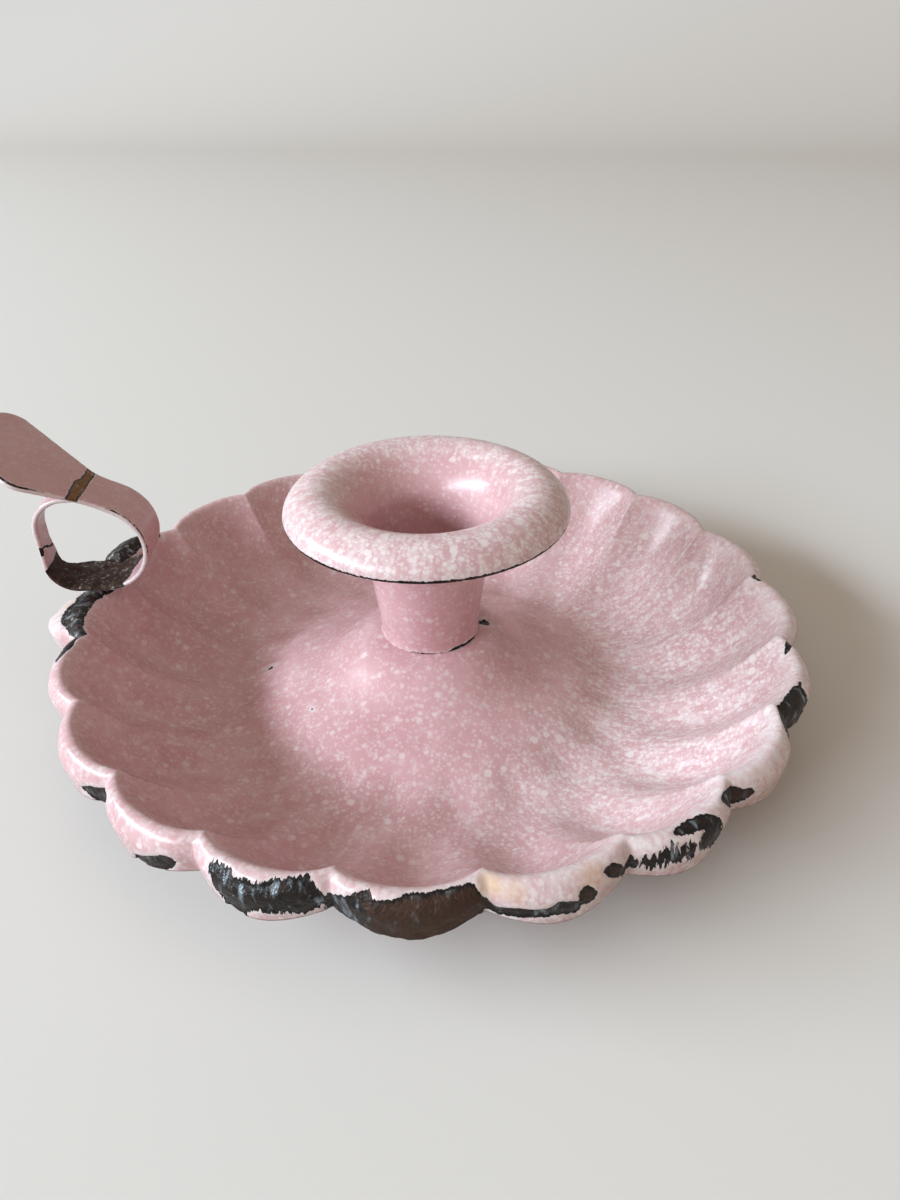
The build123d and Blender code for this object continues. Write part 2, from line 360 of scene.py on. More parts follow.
def bent_lobe():
    """1 in the middle of the lobe that is bent outwards in front of the ring, 0 outside it."""
    window = np.clip((azimuth - BENT_LOBE_AZIMUTH) / half_sector, -1, 1)
    return np.cos(pi / 2 * window)[:, None] ** BENT_LOBE_SHARPNESS


def uneven_sheet(even, top, place):
    """Section of the sheet with its waves, the fuller raised centre and the two lobes beside the ring."""
    radius = top[..., 0]
    height = top[..., 1]
    rim_share = ramp(*RIM_WAVE_RADII, radius)
    radius = radius - (RIM_PINCH + waves(even, RIM_PINCH_WAVES)) * rim_share
    height = height + waves(even, RIM_WAVES) * rim_share * ramp(*RIM_WAVE_PLACES, place)
    height += waves(even, PAN_WAVES) * ramp(*PAN_WAVE_RADII, radius)
    height += MOUND_FULLNESS * plateau(*FULLER_RADII, radius)
    raised = plateau(*RAISED_LOBE_AZIMUTHS, azimuth)[:, None]
    reach = BENT_LOBE_REACH * bent_lobe() + RAISED_LOBE_REACH * raised
    radius += reach * ramp(*REACH_PLACES, place)
    height += RAISED_LOBE_LIFT * raised * ramp(*LIFT_PLACES, place)
    return np.stack([radius, height], axis=2)


# Chips and stains of the dish
FAR_OUTSIDE = -5.0
PLAIN_BROWN = 0.2
PAST_LIP = 11.5


class Chip(NamedTuple):
    """Bare patch on the rim: stations of (azimuth, start, end), with places from the rim's crest.

    Its border is ragged by so many mm, streaks feather it, and brown is how brown its scale is.
    """

    stations: list
    ragged: float = 0.5
    streaks: float = 0.0
    brown: float = PLAIN_BROWN


RIM_CHIPS = [
    Chip(
        [(184, -2.6, 1.4), (188, -2.2, 2), (191, -1.6, 3), (195, -1.4, 2.8), (198, -1.1, 2.2)]
        + [(201, -0.8, 2), (205, 0.4, 2.2)],
        ragged=0.7
    ),
    Chip([(185.6, 4.6, 6.4), (187.4, 4, 7), (189.4, 4.6, 6)], ragged=0.8, brown=0.4),
    Chip(
        [(165, -1.2, 2), (168, -1.8, 5.2), (173, -2, 6.6), (178, -3, 5.4), (184, -3, 3.5), (188, -2, 2)],
        ragged=0.9
    ),
    Chip([(205.5, 5.6, 8), (209, 5.2, 8.6), (212.5, 4.8, 7)]),
    Chip([(229.2, 6, 7.6), (231.2, 5, 9), (233.2, 4, 9.6), (235, 3, 6), (236.8, 2.1, 3.2)]),
    Chip([(242.8, 8.6, PAST_LIP), (246.3, 6.2, PAST_LIP), (248.1, 4.7, 9.2), (249.8, 5, 6.8)]),
    Chip(
        [(255.8, 1.2, 7), (257.2, 0.8, 9.6), (258.4, 1, PAST_LIP), (259, 2.2, PAST_LIP)]
        + [(261.7, 2.2, 7.9), (264.7, 0.6, 7.4), (266.3, 0, 8.2), (267.6, 0.2, 8.5), (268.4, 1.6, 7.8)]
        + [(269.6, 3.4, 6.2)],
        ragged=0.6, streaks=0.75, brown=0.1
    ),
    Chip(
        [(269.3, 4.2, PAST_LIP), (272, 2.8, PAST_LIP), (273.6, 1.2, PAST_LIP), (274.9, 0.2, PAST_LIP)]
        + [(275.5, 2, PAST_LIP), (278.5, 1.2, PAST_LIP)],
        streaks=0.5, brown=0.1
    ),
    Chip(
        [(274.6, 0.6, PAST_LIP), (275.5, 2, PAST_LIP), (277.3, 1.6, PAST_LIP), (279.3, 0.4, PAST_LIP)]
        + [(281.7, 0, PAST_LIP), (284.8, 0, PAST_LIP), (286.4, 0.5, 10.5), (287.4, 3.6, 8.5)]
        + [(288.9, 5.6, 7.8)],
        streaks=0.2, brown=0.95
    ),
    Chip([(288.3, 6, 7.9), (291.4, 5.7, 8.6), (294.4, 5.7, 8.3), (295.9, 4.6, 7.9), (298.4, 5.7, 9.4)]),
    Chip([(297.9, 3.5, 5.2), (299.2, 3.1, 7.6), (300.4, 4.6, 7.2)], ragged=0.3, brown=0.5),
    Chip([(301.2, 1.5, 2.6), (302.8, 1.6, 4.6), (304.6, 3.3, 6.2)], brown=0.9),
    Chip([(304.4, 4.2, 8.4), (306.6, 3.2, 6.6)], streaks=0.3),
    Chip(
        [(307, 3.8, 6.6), (309.2, 2.8, 6.4), (311.6, 2.4, 6.3), (314, 3, 6.6)],
        ragged=0.4, streaks=1.9, brown=0.1
    ),
    Chip(
        [(311.4, 0.1, 1.2), (314, -1, 1.9), (316.2, -0.4, 2.6), (318, 1.2, 4.2), (318.9, 2.4, 5.4)],
        ragged=0.4
    ),
    Chip([(314.4, 2.6, 5.4), (316.2, 2.2, 6.8), (317.8, 3.4, 8.6), (319, 4.4, 7.6)], streaks=0.5),
    Chip([(320.2, 0.1, 1.4), (322.4, 0.8, 4.8), (324.6, 2.6, 7), (327.2, 4.2, 6)], brown=0.4),
    Chip(
        [(337.4, 1.4, 6), (339.5, 0.6, PAST_LIP), (343.2, 0.2, PAST_LIP), (346.4, -0.8, PAST_LIP)]
        + [(348.3, -0.4, 6)],
        streaks=0.2
    ),
    Chip([(355.7, -2.5, -1.4), (357.5, -1.2, 0.4), (359.8, 0.8, 2.8)], ragged=0.4),
    Chip([(376.1, -0.9, 0.4), (378.8, 0, 1.6)], ragged=0.3),
]
MM_PER_DEGREE = 1.42
CHIP_CORNER = 1.4
CHIP_BLEND = 1.0
CHIP_BORDER = ((0.65, 2.6, 31), (0.35, 1.3, 32))
# A chip sinks in by its depth, where the distance inside its border goes through this span
CHIP_SINK = (-0.15, 0.25)
CHIP_DEPTH = 0.3
CHIP_LUMPS = ((0.18, 1.9, 41), (0.12, 0.9, 42))
ENAMEL_PEEL = (0.03, 2.4, 43)
# Bare spots inside the dish: x, y and radius
DISH_SPOTS = [(-38.7, -4.2, 0.75), (-22.3, -21.0, 0.35), (11.9, 3.3, 1.25), (77.6, -15.4, 0.4)]
# Tan and rusty stains on the rim: azimuth, place, radius and strength
RIM_STAINS = [
    (188.0, 3.0, 1.2, 0.6),
    (199.0, 4.6, 1.1, 1.0),
    (208.5, -3.4, 0.7, 0.8),
    (288.6, 1.8, 2.2, 0.9),
    (291.0, 2.2, 2.2, 0.6),
    (300.0, 2.4, 2.6, 0.6),
    (304.0, 7.5, 2.4, 0.35),
    (330.0, 6.0, 3.0, 0.25),
]
STAIN_EDGE = 1.5
STAIN_CORE = 0.3


def azimuth_from(angle):
    """How far each column is round from an angle, -180 to 180."""
    return (azimuth - angle + 180) % 360 - 180


def rim_chips(place, points):
    """Signed distance to the nearest chip's border (positive inside), and streaks and brown share there."""
    distance = np.full(place.shape, FAR_OUTSIDE)
    weights = np.exp(distance / CHIP_BLEND)
    streaks = np.zeros(place.shape)
    brown = PLAIN_BROWN * weights
    uneven = waves(points, *CHIP_BORDER)
    for chip in RIM_CHIPS:
        angles, starts, ends = np.array(chip.stations).T
        middle = (angles[0] + angles[-1]) / 2
        here = azimuth_from(middle) + middle
        low = np.interp(here, angles, starts)[:, None]
        high = np.interp(here, angles, ends)[:, None]
        along = MM_PER_DEGREE * np.minimum(here - angles[0], angles[-1] - here)[:, None]
        across = np.minimum(place - low, high - place)
        corner = np.hypot(np.maximum(CHIP_CORNER - along, 0), np.maximum(CHIP_CORNER - across, 0))
        inside = np.minimum(np.minimum(along, across), CHIP_CORNER - corner) + chip.ragged * uneven
        distance = np.maximum(distance, inside)
        weight = np.exp(inside / CHIP_BLEND)
        weights += weight
        streaks += weight * chip.streaks
        brown += weight * chip.brown
    for x, y, radius in DISH_SPOTS:
        away = np.hypot(points[..., 0] - x, points[..., 1] - y)
        distance = np.maximum(distance, radius - away)
    return distance, streaks / weights, brown / weights


def rim_stains(place):
    """Strength of the tan and rusty stains."""
    total = np.zeros(place.shape)
    for angle, out, radius, strength in RIM_STAINS:
        away = np.hypot(azimuth_from(angle)[:, None] * MM_PER_DEGREE, place - out)
        total = np.maximum(total, strength * ramp(radius * STAIN_EDGE, radius * STAIN_CORE, away))
    return total


# Density of the dish's white specks, more on the lit right side as painted light and fewer at the front as
# painted shade, and where its white ground coat, pale bits and painted highlights show
LIT_SIDE_SPECKLE_AZIMUTH = 335
FRONT_AZIMUTH = 270
FRONT_SPAN = (0.4, 1)
MOUND_SPECKLE = 0.46
FLUTE_SPECKLE = 0.30
FLUTE_SPECKLE_LIT_RIGHT = 0.25
FLUTE_SPECKLE_FRONT_SHADE = 0.2
FLUTE_SPECKLE_RADII = (16, 46)
RIM_SPECKLE = 0.70
RIM_SPECKLE_LIT_RIGHT = 0.26
RIM_PLACES = (-9, -1)
UNDERSIDE_SPECKLE = 0.4
LIT_PALE_AZIMUTH = 330
CREST_PALE = 0.26
CREST_HIGHLIGHT_LIT_RIGHT = 0.3
CREST_PLACES = (-9, -1, 1, 8)
RIDGE_HIGHLIGHT = 0.35
RIDGE_PLACES = (-20, -5, -3, 3)
RIDGE_HIGHLIGHT_SHARPNESS = 3
CHIP_PALE = 0.55
CHIP_PALE_SPAN = (-2.6, -0.2)
BENT_LOBE_PALE = 0.72
BENT_LOBE_PALE_SPAN = (0, 0.8)
BENT_LOBE_PALE_PLACES = (1.5, 3.5)
PLAIN_CRUST = 0.3
RING_AZIMUTHS = (160, 170, 200, 210)
DISH_GRAIN_RADIUS = 80


def towards(angle):
    """1 on the side at an angle, -1 on the other side."""
    return np.cos(np.radians(azimuth - angle))[:, None]


def dish_speckle(section, place):
    """Density of the white specks: most on the rim; on the right partly the enamel's own denser specks and
    partly painted light, and fewer at the front as painted shade.
    """
    lit_side = towards(LIT_SIDE_SPECKLE_AZIMUTH)
    front_shade = ramp(*FRONT_SPAN, towards(FRONT_AZIMUTH))
    # More specks on the lit right side whiten it as painted light; fewer specks at the front darken it as
    # painted shade.
    in_flutes = FLUTE_SPECKLE + FLUTE_SPECKLE_LIT_RIGHT * lit_side - FLUTE_SPECKLE_FRONT_SHADE * front_shade
    inner = MOUND_SPECKLE + in_flutes * ramp(*FLUTE_SPECKLE_RADII, section[..., 0])
    rim = RIM_SPECKLE + RIM_SPECKLE_LIT_RIGHT * lit_side
    return inner + (rim - inner) * ramp(*RIM_PLACES, place)


def dish_pale(place, chip):
    """How pale the enamel is made: ground coat round chips and on the crest, paler on the bent lobe, and
    painted highlights on the crest and ridges of the lit right side.
    """
    lit_side = 0.5 + 0.5 * towards(LIT_PALE_AZIMUTH)
    # Painted highlight: the crest band and the ridges are made paler on the lit right side.
    crest_coat_and_highlight = plateau(*CREST_PLACES, place) * (CREST_PALE + CREST_HIGHLIGHT_LIT_RIGHT * lit_side**3)
    on_ridge = ridge[:, None] ** RIDGE_HIGHLIGHT_SHARPNESS * plateau(*RIDGE_PLACES, place)
    ridge_highlights = RIDGE_HIGHLIGHT * lit_side * on_ridge
    beside_chips = CHIP_PALE * ramp(*CHIP_PALE_SPAN, chip)
    on_lobe = ramp(*BENT_LOBE_PALE_SPAN, bent_lobe()) * ramp(*BENT_LOBE_PALE_PLACES, place)
    return np.maximum.reduce([crest_coat_and_highlight, beside_chips, ridge_highlights, BENT_LOBE_PALE * on_lobe])


def dish_crust(place):
    """Density of pale bits on the bare scale: most beside the ring."""
    beside_ring = plateau(*RING_AZIMUTHS, azimuth)[:, None]
    return np.broadcast_to(PLAIN_CRUST + (1 - PLAIN_CRUST) * beside_ring, place.shape)


def dish_object():
    """Closed sheet: top from the rivet hole to the rim, over the roll, and back underneath."""
    angle = np.radians(azimuth)
    even_top, crest_row = dish_section()
    place = arc_length(even_top)
    place -= place[:, [crest_row]]
    even = turned(even_top, angle)
    sheet = uneven_sheet(even, even_top, place)

    chip, streaks, brown = rim_chips(place, even)
    normals = right_normals(sheet)
    bare = ramp(*CHIP_SINK, chip)
    sunk = bare * (CHIP_DEPTH + waves(even, *CHIP_LUMPS)) + (1 - bare) * waves(even, ENAMEL_PEEL)
    top = sheet + normals * sunk[..., None]

    along = top[:, -1] - top[:, -2]
    along /= np.linalg.norm(along, axis=1, keepdims=True)
    edge = [
        top[:, -1] + DISH_WALL / 2 * ((1 - cos(a)) * normals[:, -1] + (sin(a) - 1) * along)
        for a in pi * EDGE_TURNS
    ]
    under = (sheet + normals * DISH_WALL)[:, ::-ROWS_PER_UNDER_ROW]
    under[:, :, 1] = np.maximum(under[:, :, 1], 0)
    section = np.concatenate([top, np.stack(edge, axis=1), under], axis=1)

    def spread(values, below):
        """Values on the top, carried round the lip's edge, with one value underneath."""
        lip = np.repeat(values[:, -1:], len(edge), axis=1)
        return np.concatenate([values, lip, np.full(under.shape[:2], below)], axis=1)

    full_place = arc_length(section)
    full_place -= full_place[:, [crest_row]]
    attributes = {
        "grain": wrapped(DISH_GRAIN_RADIUS, full_place, angle),
        "chip": spread(chip, FAR_OUTSIDE),
        "streaks": spread(streaks, 0.0),
        "brown": spread(brown, PLAIN_BROWN),
        "stain": spread(rim_stains(place), 0.0),
        # The speckle values also hold painted light on the lit right side and painted shade at the front; the
        # pale values hold painted highlights.
        "speckle": spread(dish_speckle(sheet, place), UNDERSIDE_SPECKLE),
        "pale": spread(dish_pale(place, chip), 0.0),
        "crust": spread(dish_crust(place), PLAIN_CRUST),
    }
    return grid_mesh("dish_sheet", turned(section, angle), attributes)


dish = dish_object()
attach(dish, "root")
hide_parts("dish")

# Wear of the candle socket: a bare line along the lip's edge, and a crack at the foot of the stem
LIP_LINE = 0.2
LIP_LINE_FRONT = 0.1
LIP_LINE_AZIMUTH = 245
LIP_LINE_INSET = 0.75
LIP_LINE_WAVES = ((0.2, 5, 51), (0.12, 1.6, 52))
FOOT_CRACK = 0.1
FOOT_CRACK_RIGHT = 0.5
FOOT_CRACK_AZIMUTHS = (304, 312, 330, 352)
FOOT_CRACK_CLOSED = 0.14
FOOT_CRACK_CLOSING = (265, 245)
FOOT_CRACK_EVENNESS = 0.8
FOOT_CRACK_WAVES = (0.3, 3, 53)
FOOT_CRACK_HEIGHT = 0.15
STEM_SPECKLE = 0.36
FLARE_SPECKLE_SPAN = (-12, -1)
FLARE_SPECKLE_END = 1
LIP_PALE = 0.4
LIP_PALE_SPAN = (-4, -0.5)
LIP_PALE_END = 0.5
SOCKET_BROWN = 0.35
SOCKET_CRUST = 0.2
SOCKET_GRAIN_RADIUS = 27


def socket_section():
    """Closed section of the cup, and the numbers of its points at the lip's crown and edge."""
    floor = MOUND_HEIGHT + SOCKET_WALL
    neck = np.array((SOCKET_NECK_RADIUS - SOCKET_WALL, MOUND_HEIGHT + SOCKET_NECK_HEIGHT))
    foot = np.array((SOCKET_FOOT_RADIUS - SOCKET_WALL, floor))
    lip = MOUND_HEIGHT + SOCKET_LIP_HEIGHT
    stem_slope = (neck - foot) / np.linalg.norm(neck - foot)
    crown = (SOCKET_LIP_RADIUS, lip)
    edge = (SOCKET_EDGE_RADIUS, lip - SOCKET_EDGE_DROP)
    flare = spline(np.array([[neck, crown]]), stem_slope, OUTWARD, FLARE_STEPS)[0]
    outer_turn = spline(np.array([[crown, edge]]), OUTWARD, DOWNWARD, LIP_STEPS)[0]
    floor_radii = np.linspace(HOLE_RADIUS, foot[0], SOCKET_FLOOR_POINTS)
    floor_line = np.stack([floor_radii, np.full(SOCKET_FLOOR_POINTS, floor)], axis=1)
    stem = foot + (neck - foot) * np.linspace(0, 1, STEM_POINTS)[:, None]
    top = np.concatenate([floor_line[:-1], stem[:-1], flare[:-1], outer_turn])
    half = SOCKET_WALL / 2
    rounded_radii = edge[0] - half + half * np.cos(pi * EDGE_TURNS)
    rounded_heights = edge[1] - half * np.sin(pi * EDGE_TURNS) * SOCKET_EDGE_ROUNDNESS
    rounded = np.stack([rounded_radii, rounded_heights], axis=1)
    under = (top + right_normals(top[None])[0] * SOCKET_WALL)[len(floor_line) + 1 :][::-1]
    outside = under[under[:, 1] > MOUND_HEIGHT + STEM_END_HEIGHT]
    heights = np.array(FOOT_FILLET_HEIGHTS)
    taper = (SOCKET_NECK_RADIUS - SOCKET_FOOT_RADIUS) / SOCKET_NECK_HEIGHT
    fillet = FOOT_FILLET_REACH * (1 - heights / heights[0]) ** 2
    base = np.stack([SOCKET_FOOT_RADIUS + heights * taper + fillet, MOUND_HEIGHT + heights], axis=1)
    section = np.concatenate([top, rounded, outside, base, [(HOLE_RADIUS, MOUND_HEIGHT)]])
    return section, len(top) - len(outer_turn), len(top) + 1


def socket_object():
    """Drawn cup with a worn lip and a cracked foot."""
    section, crown_row, edge_row = socket_section()
    angle = np.arange(SOCKET_COLUMNS) * 2 * pi / SOCKET_COLUMNS
    section = np.broadcast_to(section, (SOCKET_COLUMNS, *section.shape))
    along = arc_length(section)
    grain = wrapped(SOCKET_GRAIN_RADIUS, along, angle)
    degrees = np.degrees(angle)[:, None]
    from_crown = along - along[:, [crown_row]]
    from_edge = along - along[:, [edge_row]]
    from_foot = along - along[:, -2:-1]

    worn = LIP_LINE + waves(grain, *LIP_LINE_WAVES)
    worn += LIP_LINE_FRONT * np.cos(np.radians(degrees - LIP_LINE_AZIMUTH))
    lip_line = worn - np.abs(from_edge + LIP_LINE_INSET)
    crack = FOOT_CRACK_RIGHT * plateau(*FOOT_CRACK_AZIMUTHS, degrees)
    crack = (crack + FOOT_CRACK) * (FOOT_CRACK_EVENNESS + waves(grain, FOOT_CRACK_WAVES))
    crack -= FOOT_CRACK_CLOSED * ramp(*FOOT_CRACK_CLOSING, degrees)
    chip = np.maximum(lip_line, crack - np.abs(from_foot + FOOT_CRACK_HEIGHT))
    on_flare = ramp(*FLARE_SPECKLE_SPAN, from_crown) * (from_edge < FLARE_SPECKLE_END)
    attributes = {
        "grain": grain,
        "chip": chip,
        "streaks": np.zeros(chip.shape),
        "brown": np.full(chip.shape, SOCKET_BROWN),
        "stain": np.zeros(chip.shape),
        "speckle": STEM_SPECKLE + (1 - STEM_SPECKLE) * on_flare,
        "pale": LIP_PALE * ramp(*LIP_PALE_SPAN, from_edge) * (from_edge < LIP_PALE_END),
        "crust": np.full(chip.shape, SOCKET_CRUST),
    }
    return grid_mesh("socket_cup", turned(section, angle), attributes)


socket = socket_object()
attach(socket, "root")
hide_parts("candle_socket")

# Stations of the leaf bunch up towards its tip, and stations closer than this are one
LEAF_TIP_SHARE = 0.02
LEAF_BUNCHING = 1.8
SAME_POINT = 1e-6


def leaf_borders():
    """Front and far borders of the leaf from root to tip: length along it, distance from its middle."""
    half = STRAP_WIDTH / 2
    front_corner = np.array((LEAF_FRONT_LENGTH, LEAF_CORNER_RADIUS - LEAF_FRONT_WIDTH))
    far_corner = np.array((LEAF_FAR_LENGTH, LEAF_FAR_WIDTH - LEAF_CORNER_RADIUS))
    between = far_corner - front_corner
    gap = np.linalg.norm(between)
    depth = sqrt((LEAF_END_RADIUS - LEAF_CORNER_RADIUS) ** 2 - (gap / 2) ** 2)
    end_centre = (front_corner + far_corner) / 2 + depth * np.array((-between[1], between[0])) / gap

    def end_angle(corner):
        """Direction of a corner from the centre of the end's arc."""
        return atan2(*(corner - end_centre)[::-1])

    def round_points(centre, radius, start, end, count):
        """Points on an arc."""
        angles = np.linspace(start, end, count)
        return centre + radius * np.stack([np.cos(angles), np.sin(angles)], axis=1)

    def side_points(side, neck_width, corner):
        """One border from the root through the neck and round its corner."""
        neck = np.array((LEAF_NECK_LENGTH, side * neck_width))
        run, rise = corner - neck
        spread = atan2(side * rise, run) + asin(LEAF_CORNER_RADIUS / hypot(run, rise))
        root = np.array([[(0, side * half), neck]])
        throat = spline(root, OUTWARD, (cos(spread), side * sin(spread)), THROAT_STEPS)[0]
        start = side * (pi / 2 + spread)
        turn = round_points(corner, LEAF_CORNER_RADIUS, start, end_angle(corner), LEAF_CORNER_POINTS)
        return np.concatenate([throat, turn])

    front = side_points(-1, LEAF_FRONT_NECK, front_corner)
    far = side_points(1, LEAF_FAR_NECK, far_corner)
    end_angles = (end_angle(front_corner), end_angle(far_corner))
    end = round_points(end_centre, LEAF_END_RADIUS, *end_angles, LEAF_END_POINTS)[1:-1]
    outline = np.concatenate([front, end, far[::-1]])
    tip = int(np.argmax(outline[:, 0]))
    return outline[: tip + 1], outline[tip:][::-1]


def loop_path():
    """Outer face of the strap in its own plane, from the leaf's tip to the tail.

    Gives the points, their normals, the places of the strap's two edges, and the run from the leaf's root.
    """
    slope = radians(LEAF_SLOPE)
    ring_x = -RING_INSET
    corner_x = ring_x + RING_FLAT
    side_x = corner_x + RING_CORNER_RADIUS
    tail_x = side_x - TAIL_RADIUS
    reach = RING_RADIUS - STRAP_THICKNESS - TAIL_RADIUS + TAIL_BRAZE
    tail_y = RING_RADIUS + (reach + (tail_x - ring_x) * sin(slope)) / cos(slope)
    root = np.array([ring_x - RING_RADIUS * sin(slope), RING_RADIUS + RING_RADIUS * cos(slope)])
    half = STRAP_WIDTH / 2
    front_border, far_border = leaf_borders()
    tip = front_border[-1, 0]
    shoulder_points = [
        (0, STRAP_WIDTH),
        (RING_CORNER_RADIUS * TAIL_SHOULDER_SHARE, TAIL_SHOULDER_WIDTH),
        (RING_CORNER_RADIUS, TAIL_WAIST_WIDTH),
    ]
    shoulder = spline(np.array([shoulder_points]), OUTWARD, OUTWARD, TAIL_SHOULDER_STEPS)[0]

    def tail_width(point):
        """Width of the strap, which narrows round the ring's outer corner and up the tail."""
        if point[1] < RING_CORNER_RADIUS:
            return np.interp(point[0] - corner_x, *shoulder.T)
        heights = (RING_CORNER_RADIUS, TAIL_NARROW_HEIGHT)
        return np.interp(point[1], heights, (TAIL_WAIST_WIDTH, TAIL_WIDTH))

    def arc(centre, radius, start, sweep, count):
        """Points and normals round an arc."""
        angles = np.radians(np.linspace(start, start + sweep, count))
        directions = np.stack([np.cos(angles), np.sin(angles)], axis=1)
        return [*zip(centre + radius * directions, directions)]

    def line(start, end, normal, count):
        """Points and normals between the ends of a straight run."""
        return [(point, normal) for point in np.linspace(start, end, count)[1:-1]]

    stations = []
    for s in tip * (1 - np.linspace(LEAF_TIP_SHARE, 1, LEAF_STATIONS) ** LEAF_BUNCHING):
        point = root + s * np.array([cos(slope), sin(slope)])
        edges = (np.interp(s, *front_border.T), np.interp(s, *far_border.T))
        stations.append((*point, -sin(slope), cos(slope), *edges))
    ring = arc((ring_x, RING_RADIUS), RING_RADIUS, 90 + LEAF_SLOPE, 180 - LEAF_SLOPE, RING_STATIONS)
    ring += line((ring_x, 0), (corner_x, 0), DOWNWARD, RING_FLAT_STATIONS)
    tail = arc((corner_x, RING_CORNER_RADIUS), RING_CORNER_RADIUS, -90, 90, RING_CORNER_STATIONS)
    tail += line((side_x, RING_CORNER_RADIUS), (side_x, tail_y), OUTWARD, TAIL_STATIONS)
    tail += arc((tail_x, tail_y), TAIL_RADIUS, 0, 90 + LEAF_SLOPE, TAIL_ARC_STATIONS)
    stations += [(*point, *normal, -half, half) for point, normal in ring]
    stations += [(*point, *normal, -half, tail_width(point) - half) for point, normal in tail]
    table = np.array(stations)
    gaps = np.linalg.norm(np.diff(table[:, :2], axis=0), axis=1)
    table = table[np.append(True, gaps > SAME_POINT)]
    points = table[:, :2]
    run = arc_length(points[None])[0] - tip
    return points, table[:, 2:4], table[:, 4], table[:, 5], run


# Wear of the strap. Runs are mm from the leaf's root, negative on the leaf, and face is 1 outside, -1 inside.
FACE_SPAN = 3
STRAP_BORDER = ((0.7, 3.5, 61), (0.3, 1.4, 62))
RING_BARE_RUN = (21.7, 45.5)
RING_BARE_SLANT = 0.45
RING_BARE_RAGGED = 1.3
RING_BARE_FACE = 0.6
RING_LUMP_BASE = 0.25
RING_LUMPS = ((1.1, 2.4, 64), (0.5, 1.1, 65))
INNER_FACE = -0.3
TAIL_CRACK = 0.3
TAIL_CRACK_RUN = 49.9
TAIL_CRACK_WAVE = 0.6
TAIL_CRACK_TURN = 0.9
TAIL_CRACK_SLANT = 0.12
TAIL_CRACK_RAGGED = 0.12
TAIL_CHIP_RADIUS = 1.0
TAIL_CHIP_RAGGED = 0.4
TAIL_CHIP_FACE = 0.3
BAND_RUN = (-10.2, -7.5)
BAND_STEP = 0.7
BAND_STEP_SIDE = (-1.0, 0.5)
BAND_RAGGED = 0.3
BAND_FACE = -0.6
BAND_BROWN = 2.0
BAND_BORDER_BROWN = 0.4
BAND_BORDER = (0.6, 0.1)
STRAP_BROWN = 0.5
EDGE_LINE = 0.1
EDGE_LINE_LEAF = 0.38
EDGE_LINE_LEAF_RUN = (-15, -20)
EDGE_LINE_WAVES = (0.28, 2.0, 63)
EDGE_LINE_STRETCH = (0.5, 0, 1)
EDGE_LINE_INSET = 0.3
EDGE_LINE_FACE = 0.4
EDGE_LINE_END = 24
LEAST_FLAT_SHARE = 0.3
STRAP_SPECKLE = 0.14
STRAP_EDGE_PALE = 0.8
STRAP_EDGE_FACE = (0.95, 0.6)
RING_CRUST_RUN = (46, 34)


def loop_wear(spots, run, side, face, fronts, backs):
    """Distance inside chips, and brown share: run along the strap, side across it, and face."""
    uneven = waves(spots, *STRAP_BORDER)
    start, end = RING_BARE_RUN
    bare = np.minimum(run - start + RING_BARE_SLANT * side, end - run) + RING_BARE_RAGGED * uneven
    from_front = side + STRAP_WIDTH / 2
    crack_wave = TAIL_CRACK_WAVE * np.sin(TAIL_CRACK_TURN * from_front) - TAIL_CRACK_SLANT * from_front
    crack = TAIL_CRACK - np.abs(run - TAIL_CRACK_RUN - crack_wave) + TAIL_CRACK_RAGGED * uneven
    tail_chip = TAIL_CHIP_RADIUS - np.hypot(run - TAIL_CRACK_RUN, side - fronts) + TAIL_CHIP_RAGGED * uneven
    start, end = BAND_RUN
    band_start = start + BAND_STEP * ramp(*BAND_STEP_SIDE, side)
    band = np.minimum(run - band_start, end - run) + BAND_RAGGED * uneven

    # Worn lines along the strap's outer edges, thickest at the front of the leaf
    from_edge = np.maximum(fronts - side, side - backs) + STRAP_THICKNESS / 2 - EDGE_LINE_INSET
    thick = EDGE_LINE + EDGE_LINE_LEAF * ramp(*EDGE_LINE_LEAF_RUN, run) * (side < 0)
    edge_line = thick + waves(spots * EDGE_LINE_STRETCH, EDGE_LINE_WAVES) - np.abs(from_edge)

    band = np.where(face > BAND_FACE, band, FAR_OUTSIDE)
    chip = np.maximum.reduce(
        [
            np.where(face < RING_BARE_FACE, bare, FAR_OUTSIDE),
            np.where(face < INNER_FACE, crack, FAR_OUTSIDE),
            np.where(face < TAIL_CHIP_FACE, tail_chip, FAR_OUTSIDE),
        ]
    )
    band_brown = BAND_BROWN - (BAND_BROWN - BAND_BORDER_BROWN) * ramp(*BAND_BORDER, band)
    brown = np.where(band > chip, band_brown, STRAP_BROWN)
    on_line = (face > EDGE_LINE_FACE) & (run < EDGE_LINE_END)
    return np.maximum.reduce([chip, band, np.where(on_line, edge_line, FAR_OUTSIDE)]), brown


